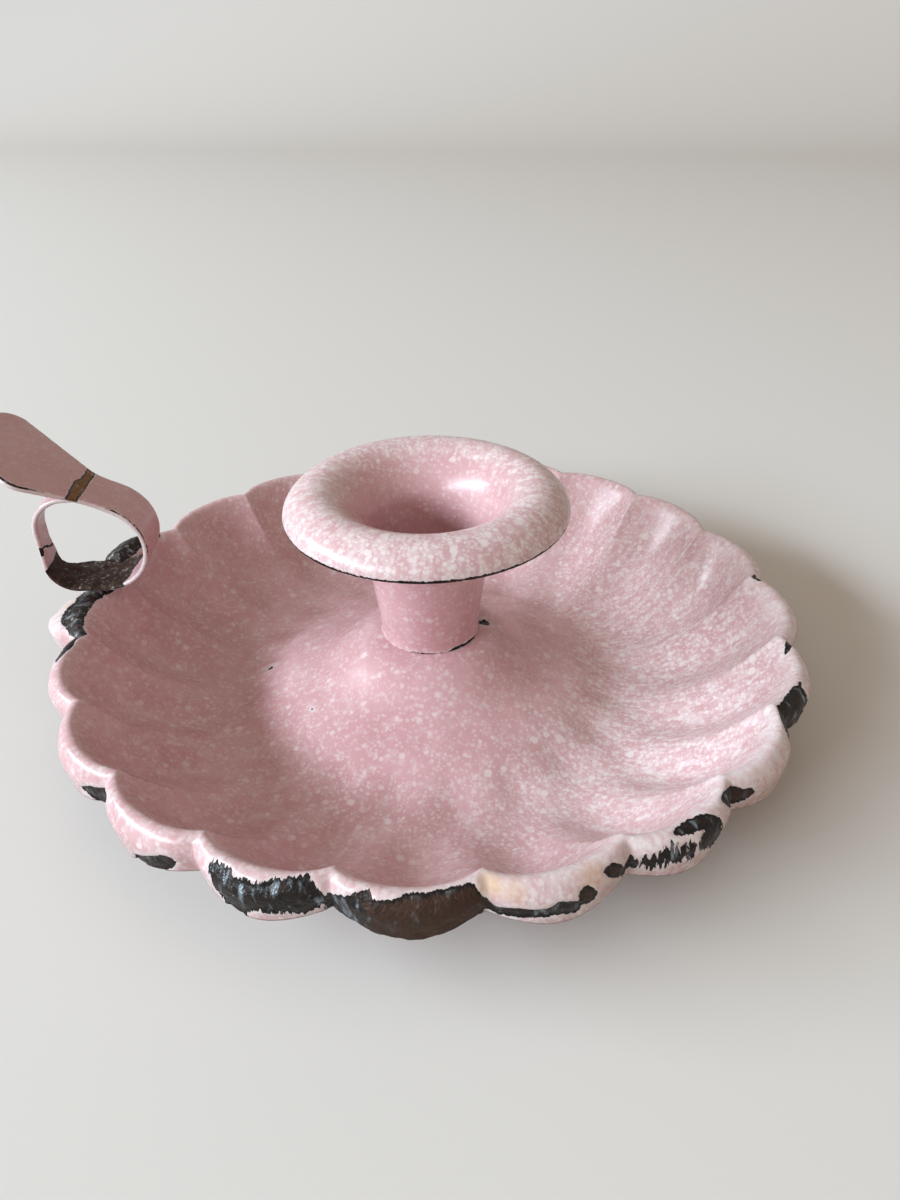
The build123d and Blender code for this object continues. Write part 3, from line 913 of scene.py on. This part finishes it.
def loop_object():
    """Strap swept along its path, with edges rounded by the enamel."""
    points, normals, fronts, backs, path_run = loop_path()
    half = STRAP_THICKNESS / 2
    # Profile of the strap: share of the flat half width, share of the rounded edge, face
    edge_angles = np.radians(np.linspace(90, -90, STRAP_EDGE_POINTS + 2)[1:-1])
    profile = [(w, 0.0, 1.0) for w in np.linspace(-1, 1, STRAP_FACE_POINTS)]
    profile += [(1.0, cos(a), sin(a)) for a in edge_angles]
    profile += [(w, 0.0, -1.0) for w in np.linspace(1, -1, STRAP_FACE_POINTS)]
    profile += [(-1.0, -cos(a), sin(a)) for a in edge_angles[::-1]]
    flat_share, round_share, face = np.array(profile[::-1])[:, :, None].transpose(1, 0, 2)
    widths = (backs - fronts) / 2
    flat_half = np.maximum(widths - half, widths * LEAST_FLAT_SHARE)
    side = (fronts + backs) / 2 + flat_share * flat_half + round_share * (widths - flat_half)
    run = np.broadcast_to(path_run, side.shape)
    face = np.broadcast_to(face, side.shape)
    spots = np.stack([run, side, FACE_SPAN * face], axis=-1)
    chip, brown = loop_wear(spots, run, side, face, fronts, backs)

    bare = ramp(*CHIP_SINK, chip) * (face < INNER_FACE)
    lumps = np.maximum(RING_LUMP_BASE + waves(spots, *RING_LUMPS), 0)
    feathered = 1 - TAIL_FEATHER_SHARE * ramp(path_run[-1] - TAIL_FEATHER, path_run[-1], run)
    depth = half * (1 - face) * feathered - RING_LUMP_HEIGHT * bare * lumps
    flat = points - normals * depth[..., None]
    twist = radians(LOOP_TWIST)
    outward = np.array([-cos(twist), -sin(twist), 0])
    sideways = np.array([-sin(twist), cos(twist), 0])
    upward = np.array([0, 0, 1])
    origin = np.array([-LOOP_RADIUS, 0, RIM_HEIGHT - LOOP_SEAT])
    placed = origin + flat[..., :1] * outward + flat[..., 1:] * upward + side[..., None] * sideways
    attributes = {
        "grain": np.stack([run, side, half * face], axis=-1),
        "chip": chip,
        "streaks": np.zeros(chip.shape),
        "brown": brown,
        "stain": np.zeros(chip.shape),
        "speckle": np.full(chip.shape, STRAP_SPECKLE),
        "pale": STRAP_EDGE_PALE * ramp(*STRAP_EDGE_FACE, np.abs(face)),
        "crust": ramp(*RING_CRUST_RUN, run),
    }
    return grid_mesh("loop_strap", placed, attributes, rows_close=False)


loop = loop_object()
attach(loop, "root")
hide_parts("finger_loop")

# Solid middle of a speck, as a share of its radius
SPECK_CORE = 0.55


class Graph:
    """Shader nodes of one material or world, made by short calls."""

    def __init__(self, owner, shader="Principled BSDF"):
        owner.use_nodes = True
        self.tree = owner.node_tree
        self.shader = self.tree.nodes[shader]

    def feed(self, target, value):
        """Links a socket to a target, or sets the target's own value."""
        if isinstance(value, bpy.types.NodeSocket):
            self.tree.links.new(value, target)
        elif target.type == "RGBA":
            target.default_value = (*value, 1)
        else:
            target.default_value = value

    def node(self, kind, settings, inputs):
        made = self.tree.nodes.new("ShaderNode" + kind)
        for key, value in settings.items():
            setattr(made, key, value)
        for key, value in inputs.items():
            self.feed(made.inputs[key], value)
        return made

    def attribute(self, name, output="Fac"):
        """Values that the mesh holds at its points."""
        return self.node("Attribute", {"attribute_name": name}, {}).outputs[output]

    def object_place(self):
        """Place on the object, in metres."""
        return self.node("TexCoord", {}, {}).outputs["Object"]

    def math(self, operation, a, b):
        return self.node("Math", {"operation": operation}, {0: a, 1: b}).outputs[0]

    def add(self, *values):
        return reduce(partial(self.math, "ADD"), values)

    def times(self, *values):
        return reduce(partial(self.math, "MULTIPLY"), values)

    def scaled(self, vector, factors):
        return self.node("VectorMath", {"operation": "MULTIPLY"}, {0: vector, 1: factors}).outputs[0]

    def step(self, value, low, high):
        """0 below low, 1 above high, smooth between."""
        inputs = {"Value": value, "From Min": low, "From Max": high}
        return self.node("MapRange", {"interpolation_type": "SMOOTHSTEP"}, inputs).outputs["Result"]

    def spread(self, value, low, high):
        """0 to 1 made low to high."""
        return self.node("MapRange", {}, {"Value": value, "To Min": low, "To Max": high}).outputs["Result"]

    def noise(self, vector, cell, detail):
        """Noise about 0.5 with features about one cell wide."""
        inputs = {"Vector": vector, "Scale": 1 / cell, "Detail": detail}
        return self.node("TexNoise", {}, inputs).outputs[0]

    def centred(self, vector, cell, detail):
        """Noise about 0 with features about one cell wide."""
        return self.add(self.noise(vector, cell, detail), -0.5)

    def patches(self, vector, cell, detail, low, high):
        """Noise cut into soft patches, which start at the low level and are full at the high one."""
        return self.step(self.noise(vector, cell, detail), low, high)

    def mix(self, factor, a, b):
        """Colour a where the factor is 0, and b where it is 1."""
        return self.node("Mix", {"data_type": "RGBA"}, {0: factor, 6: a, 7: b}).outputs[2]

    def specks(self, vector, cell, share, small, large):
        """Round specks in a share of the cells of a pattern. Their radii are in cells."""
        cells = self.node("TexVoronoi", {}, {"Vector": vector, "Scale": 1 / cell})
        parts = self.node("SeparateColor", {}, {"Color": cells.outputs["Color"]})
        chosen = self.math("LESS_THAN", parts.outputs[0], share)
        radius = self.spread(parts.outputs[1], small, large)
        spot = self.step(cells.outputs["Distance"], radius, self.times(radius, SPECK_CORE))
        return self.times(chosen, spot)

    def seen_rays(self):
        """1 for rays that show a surface, also in a reflection, and 0 for those that light other things."""
        path = self.node("LightPath", {}, {}).outputs
        straight = self.math("MAXIMUM", path["Is Camera Ray"], path["Is Transmission Ray"])
        return self.math("MAXIMUM", straight, path["Is Glossy Ray"])


# Enamel: pink with white specks. A layer of specks has its cell size, the least and greatest share of cells
# with a speck, the smallest and largest radius, and its strength. Patches are as Graph.patches takes them.
PINK = (0.585, 0.335, 0.355)
ROSE = (0.63, 0.385, 0.405)
SPECK_WHITE = (0.80, 0.70, 0.71)
FINE_SPECKS = [(0.8, 0.2, 0.9, 0.3, 0.75, 0.36), (1.3, 0.1, 0.6, 0.25, 0.6, 0.5)]
COARSE_SPECKS = [(2.6, 0.08, 0.5, 0.12, 0.44, 0.7), (6.0, 0.06, 0.35, 0.07, 0.24, 0.65)]
WOBBLE_SCALE = 1.3
WOBBLE_DETAIL = 2.0
WOBBLE_REACH = (0.7, 0.7, 0.7)
ROSE_CLOUDS = (14, 2.0, 0.35, 0.65)
BLOTS = (2.4, 4.0, 0.48, 0.70)
BLOT_STRENGTH = 0.8
FLOW_STREAKS = (1.7, 4.0, 0.44, 0.66)
FLOW_STRETCH = (1, 1, 0.4)
CLUMP_STRENGTH = (0.2, 0.42)
DENSE_SPECKLE = (0.6, 0.9)
DENSE_WHITE = 0.12
WHITE_STRENGTH = (0.45, 1.2)
HIDDEN_SPECKLE = (8, 2.0, 0.3, 0.9)
GLOSS_CELL = 5
ENAMEL_ROUGHNESS = (0.18, 0.36)
PEEL_CELL = 2.6
PEEL_DETAIL = 1.0
PEEL_HEIGHT = 0.02
MM_PER_METRE = (1000, 1000, 1000)

# Wear and painted light: ground coat, also used for painted highlights, stains and chips. Spans of chip are
# mm inside a chip's border.
GROUND_COAT_AND_HIGHLIGHT = (0.77, 0.72, 0.73)
TAN_STAIN = (0.66, 0.42, 0.20)
FINE_DETAIL = 3.0
GRIT_CELL = 0.7
BRUSH_CELL = 0.9
BRUSH_STRETCH = (1, 1, 0.3)
STREAK_CELL = 0.55
STREAK_STRETCH = (1, 1, 0.16)
CHIP_GRIT = 0.7
CHIP_STREAK = 4.0
BARE_SPAN = (-0.05, 0.06)
PALE_BRUSH = 0.9
PALE_GRIT = 0.3
PALE_SPAN = (0.1, 1.0)
PALE_STRENGTH = 0.9
FRINGE = (1.7, 2.0, 0.42, 0.62)
FRINGE_SPAN = (-0.4, -0.08)
FRINGE_STRENGTH = 0.75
STAIN_CELL = 0.9
STAIN_UNEVENNESS = (0.3, 1.3)
STAIN_STRENGTH = 0.75
PIT_CELL = 0.65
PIT_HEIGHT = 0.30
SCALE_DEPTH = -0.28

# Bare scale in the chips, with steel-grey painted glints for the window's sheen
BLACK_SCALE = (0.022, 0.019, 0.018)
STEEL_SHEEN_SCALE = (0.26, 0.30, 0.33)
BROWN_SCALE = (0.078, 0.043, 0.031)
RUST_SCALE = (0.20, 0.092, 0.032)
GREY_SCALE = (0.48, 0.44, 0.43)
SCALE_METALLIC = 0.85
SCALE_ROUGHNESS = (0.42, 0.7)
PAINTED_GLINTS = (1.3, 5.0, 0.52, 0.72)
PAINTED_GLINT_SPAN = (0.2, 0.7)
MOTTLE_CELL = 1.1
MOTTLE_DETAIL = 4.0
DEEP_MOTTLE = 1.6
DEEP_SPAN = (0.9, 2.2)
BROWN_MOTTLE = 0.9
BROWN_SPAN = (0.45, 1.15)
RUST_SPAN = (1.0, 1.8)
BIT_CELL = 1.2
BIT_DETAIL = 6.0
BIT_LEVELS = (0.68, 0.55)
BIT_EDGE = 0.16
BIT_STRENGTH = 0.6


def speckled_pink(graph, place, flow, speckle, coarse):
    """Colour of the enamel: pink with soft white specks, denser and whiter where speckle is high; on the dish
    this also lays painted light and painted shade.
    """
    wobble_inputs = {"Vector": place, "Scale": WOBBLE_SCALE, "Detail": WOBBLE_DETAIL}
    wobble = graph.node("TexNoise", {}, wobble_inputs).outputs[1]
    bend = graph.scaled(wobble, WOBBLE_REACH)
    spot_place = graph.node("VectorMath", {"operation": "ADD"}, {0: place, 1: bend}).outputs[0]
    white = 0.0
    layers = [(cell, few, many * coarse, *rest) for cell, few, many, *rest in COARSE_SPECKS]
    for cell, few, many, small, large, strength in FINE_SPECKS + layers:
        specks = graph.specks(spot_place, cell, graph.spread(speckle, few, many), small, large)
        white = graph.math("MAXIMUM", white, graph.times(specks, strength))
    dense = graph.step(speckle, *DENSE_SPECKLE)
    blots = graph.times(graph.patches(place, *BLOTS), BLOT_STRENGTH)
    streaks = graph.times(graph.patches(flow, *FLOW_STREAKS), dense)
    clumps = graph.times(graph.math("MAXIMUM", blots, streaks), graph.spread(speckle, *CLUMP_STRENGTH))
    white = graph.add(white, clumps, graph.times(dense, DENSE_WHITE))
    white = graph.times(white, graph.spread(speckle, *WHITE_STRENGTH))
    pink = graph.mix(graph.patches(place, *ROSE_CLOUDS), PINK, ROSE)
    return graph.mix(white, pink, SPECK_WHITE)


def bare_scale(graph, body, grain, chip):
    """Colour and roughness of bare scale: black with steel-grey painted glints, brown where deep, with pale
    bits.
    """
    mottle = graph.noise(body, MOTTLE_CELL, MOTTLE_DETAIL)
    brown_share = graph.attribute("brown")
    deep = graph.step(graph.add(chip, graph.times(mottle, DEEP_MOTTLE)), *DEEP_SPAN)
    browned = graph.step(graph.add(brown_share, graph.times(mottle, BROWN_MOTTLE)), *BROWN_SPAN)
    brown = graph.times(browned, deep)
    # Painted glints: steel-grey patches stand in for the window's sheen on the black scale.
    painted_glint = graph.patches(graph.scaled(grain, BRUSH_STRETCH), *PAINTED_GLINTS)
    painted_glint = graph.times(painted_glint, graph.step(chip, *PAINTED_GLINT_SPAN))
    bit_level = graph.spread(graph.attribute("crust"), *BIT_LEVELS)
    bits = graph.step(graph.noise(body, BIT_CELL, BIT_DETAIL), bit_level, graph.add(bit_level, BIT_EDGE))
    colour = graph.mix(painted_glint, BLACK_SCALE, STEEL_SHEEN_SCALE)
    colour = graph.mix(brown, colour, BROWN_SCALE)
    colour = graph.mix(graph.step(brown_share, *RUST_SPAN), colour, RUST_SCALE)
    colour = graph.mix(graph.times(bits, BIT_STRENGTH), colour, GREY_SCALE)
    return colour, graph.spread(brown, *SCALE_ROUGHNESS)


def worn(graph, body, grain, colour, roughness, height):
    """Colour, roughness and height of enamel with its ground coat and painted highlights showing, stains and
    chips to bare scale.
    """
    grit = graph.centred(body, GRIT_CELL, FINE_DETAIL)
    streak = graph.centred(graph.scaled(grain, STREAK_STRETCH), STREAK_CELL, FINE_DETAIL)
    brushed = graph.centred(graph.scaled(grain, BRUSH_STRETCH), BRUSH_CELL, FINE_DETAIL)
    streaked = graph.times(streak, graph.attribute("streaks"), CHIP_STREAK)
    chip = graph.add(graph.attribute("chip"), graph.times(grit, CHIP_GRIT), streaked)
    bare = graph.step(chip, *BARE_SPAN)
    pale = graph.add(graph.attribute("pale"), graph.times(brushed, PALE_BRUSH), graph.times(grit, PALE_GRIT))
    fringe = graph.times(graph.step(graph.add(chip, grit), *FRINGE_SPAN), graph.patches(body, *FRINGE))
    uneven = graph.spread(graph.noise(body, STAIN_CELL, FINE_DETAIL), *STAIN_UNEVENNESS)
    stain = graph.times(graph.attribute("stain"), uneven)
    # The pale mix lays both the ground coat and the painted highlights.
    colour = graph.mix(graph.times(graph.step(pale, *PALE_SPAN), PALE_STRENGTH), colour, GROUND_COAT_AND_HIGHLIGHT)
    colour = graph.mix(graph.times(fringe, FRINGE_STRENGTH), colour, GROUND_COAT_AND_HIGHLIGHT)
    colour = graph.mix(graph.times(stain, STAIN_STRENGTH), colour, TAN_STAIN)
    scale_colour, scale_roughness = bare_scale(graph, body, grain, chip)
    colour = graph.mix(bare, colour, scale_colour)
    coated = graph.math("SUBTRACT", 1.0, bare)
    roughness = graph.add(graph.times(roughness, coated), graph.times(scale_roughness, bare))
    pits = graph.times(graph.noise(body, PIT_CELL, FINE_DETAIL), PIT_HEIGHT)
    height = graph.add(height, graph.times(bare, graph.add(pits, SCALE_DEPTH)))
    graph.feed(graph.shader.inputs["Metallic"], graph.times(bare, SCALE_METALLIC))
    return colour, roughness, height


def enamel(name, coarse=1.0, shows=True):
    """Glossy speckled enamel. Where it shows, it is worn, and painted with light and shade, as the piece's
    attributes say.
    """
    material = bpy.data.materials.new(name)
    graph = Graph(material)
    body = graph.scaled(graph.object_place(), MM_PER_METRE)
    roughness = graph.spread(graph.noise(body, GLOSS_CELL, FINE_DETAIL), *ENAMEL_ROUGHNESS)
    height = graph.times(graph.noise(body, PEEL_CELL, PEEL_DETAIL), PEEL_HEIGHT)
    if shows:
        grain = graph.attribute("grain", "Vector")
        flow = graph.scaled(grain, FLOW_STRETCH)
        colour = speckled_pink(graph, body, flow, graph.attribute("speckle"), coarse)
        colour, roughness, height = worn(graph, body, grain, colour, roughness, height)
    else:
        colour = speckled_pink(graph, body, body, graph.patches(body, *HIDDEN_SPECKLE), coarse)
    bump = graph.node("Bump", {}, {"Height": height, "Distance": MM})
    graph.feed(graph.shader.inputs["Normal"], bump.outputs[0])
    graph.feed(graph.shader.inputs["Base Color"], colour)
    graph.feed(graph.shader.inputs["Roughness"], roughness)
    return material


SOCKET_COARSENESS = 0.4
STRAP_COARSENESS = 0.5
dish.data.materials.append(enamel("dish_enamel"))
socket.data.materials.append(enamel("socket_enamel", SOCKET_COARSENESS))
loop.data.materials.append(enamel("loop_enamel", STRAP_COARSENESS))
hidden_enamel = enamel("fastener_enamel", shows=False)
for node in ("socket_rivet", "socket_washer"):
    for material_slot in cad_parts[node].material_slots:
        material_slot.material = hidden_enamel

# Floor and room, in metres: the floor sweeps up behind the object
SWEEP_FLAT = 0.9
SWEEP_RADIUS = 0.7
SWEEP_HEIGHT = 3.0
SWEEP_HALF_WIDTH = 5.0
SWEEP_TURN_POINTS = 24
SWEEP_FADE = (0.9, 2.3)
FLOOR_ROUGHNESS = 0.9
PALE_FLOOR = (0.74, 0.73, 0.71)
FLOOR_BOUNCE = (0.30, 0.24, 0.19)
PALE_ROOM = (0.62, 0.61, 0.60)
ROOM_LIGHT = (0.51, 0.43, 0.36)


def floor_material():
    """Pale floor. Far from the object it is seen to fade into the room, so that its ends don't show."""
    material = bpy.data.materials.new("pale_floor")
    graph = Graph(material)
    colour = graph.mix(graph.seen_rays(), FLOOR_BOUNCE, PALE_FLOOR)
    graph.feed(graph.shader.inputs["Base Color"], colour)
    graph.feed(graph.shader.inputs["Roughness"], FLOOR_ROUGHNESS)
    distance = graph.node("VectorMath", {"operation": "LENGTH"}, {0: graph.object_place()}).outputs["Value"]
    fade = graph.times(graph.seen_rays(), graph.step(distance, *SWEEP_FADE))
    room = graph.node("Emission", {}, {"Color": PALE_ROOM}).outputs[0]
    look = graph.node("MixShader", {}, {0: fade, 1: graph.shader.outputs[0], 2: room}).outputs[0]
    graph.feed(graph.tree.nodes["Material Output"].inputs["Surface"], look)
    return material


def floor_object():
    """Sheet that lies flat round the object and sweeps up into a wall behind it."""
    line = [(-SWEEP_HALF_WIDTH, 0.0)]
    for a in np.linspace(-pi / 2, 0, SWEEP_TURN_POINTS):
        line.append((SWEEP_FLAT + SWEEP_RADIUS * cos(a), SWEEP_RADIUS * (1 + sin(a))))
    line.append((SWEEP_FLAT + SWEEP_RADIUS, SWEEP_HEIGHT))
    points = [(x, y, z) for y, z in line for x in (-SWEEP_HALF_WIDTH, SWEEP_HALF_WIDTH)]
    faces = [(2 * i, 2 * i + 1, 2 * i + 3, 2 * i + 2) for i in range(len(line) - 1)]
    mesh = bpy.data.meshes.new("floor")
    mesh.from_pydata(points, [], faces)
    mesh.shade_smooth()
    mesh.materials.append(floor_material())
    return scene_object("floor", mesh)


floor = floor_object()

world = bpy.data.worlds.new("studio")
bpy.context.scene.world = world
world_graph = Graph(world, "Background")
world_colour = world_graph.mix(world_graph.seen_rays(), ROOM_LIGHT, PALE_ROOM)
world_graph.feed(world_graph.shader.inputs["Color"], world_colour)

# Window light: one long soft strip, in metres and watts
WINDOW_PLACE = (-1.561, -0.902, 0.862)
WINDOW_TARGET = (0, 0, 0.02)
WINDOW_WIDTH = 2.4
WINDOW_HEIGHT = 0.35
WINDOW_POWER = 68
WINDOW_COLOUR = (0.79, 0.91, 1.0)
window_data = bpy.data.lights.new("window", "AREA")
window_data.shape = "RECTANGLE"
window_data.size = WINDOW_WIDTH
window_data.size_y = WINDOW_HEIGHT
window_data.energy = WINDOW_POWER
window_data.color = WINDOW_COLOUR
window = scene_object("window", window_data)
window.location = WINDOW_PLACE
window_aim = Vector(WINDOW_TARGET) - Vector(WINDOW_PLACE)
window.rotation_euler = window_aim.to_track_quat("-Z", "Y").to_euler()

# Camera at the photograph's place, worked out from the dish's rings: its tilt, roll and heading
IMAGE_HEIGHT = 1200
FOCAL_PIXELS = 901.0
SENSOR_HEIGHT = 36
CLIP_START = 0.01
CAMERA_PLACE = (36.7394, -163.8253, 134.2964)
CAMERA_ANGLES = (56.5024, 0.7957, 10.5615)
camera_data = bpy.data.cameras.new("camera")
camera_data.sensor_fit = "VERTICAL"
camera_data.sensor_height = SENSOR_HEIGHT
camera_data.lens = FOCAL_PIXELS * SENSOR_HEIGHT / IMAGE_HEIGHT
camera_data.clip_start = CLIP_START
camera = scene_object("camera", camera_data)
camera_turn = Euler([radians(angle) for angle in CAMERA_ANGLES])
camera.matrix_world = Matrix.LocRotScale(Vector(CAMERA_PLACE) * MM, camera_turn, None)
bpy.context.scene.camera = camera
bpy.context.scene.view_settings.view_transform = "Standard"
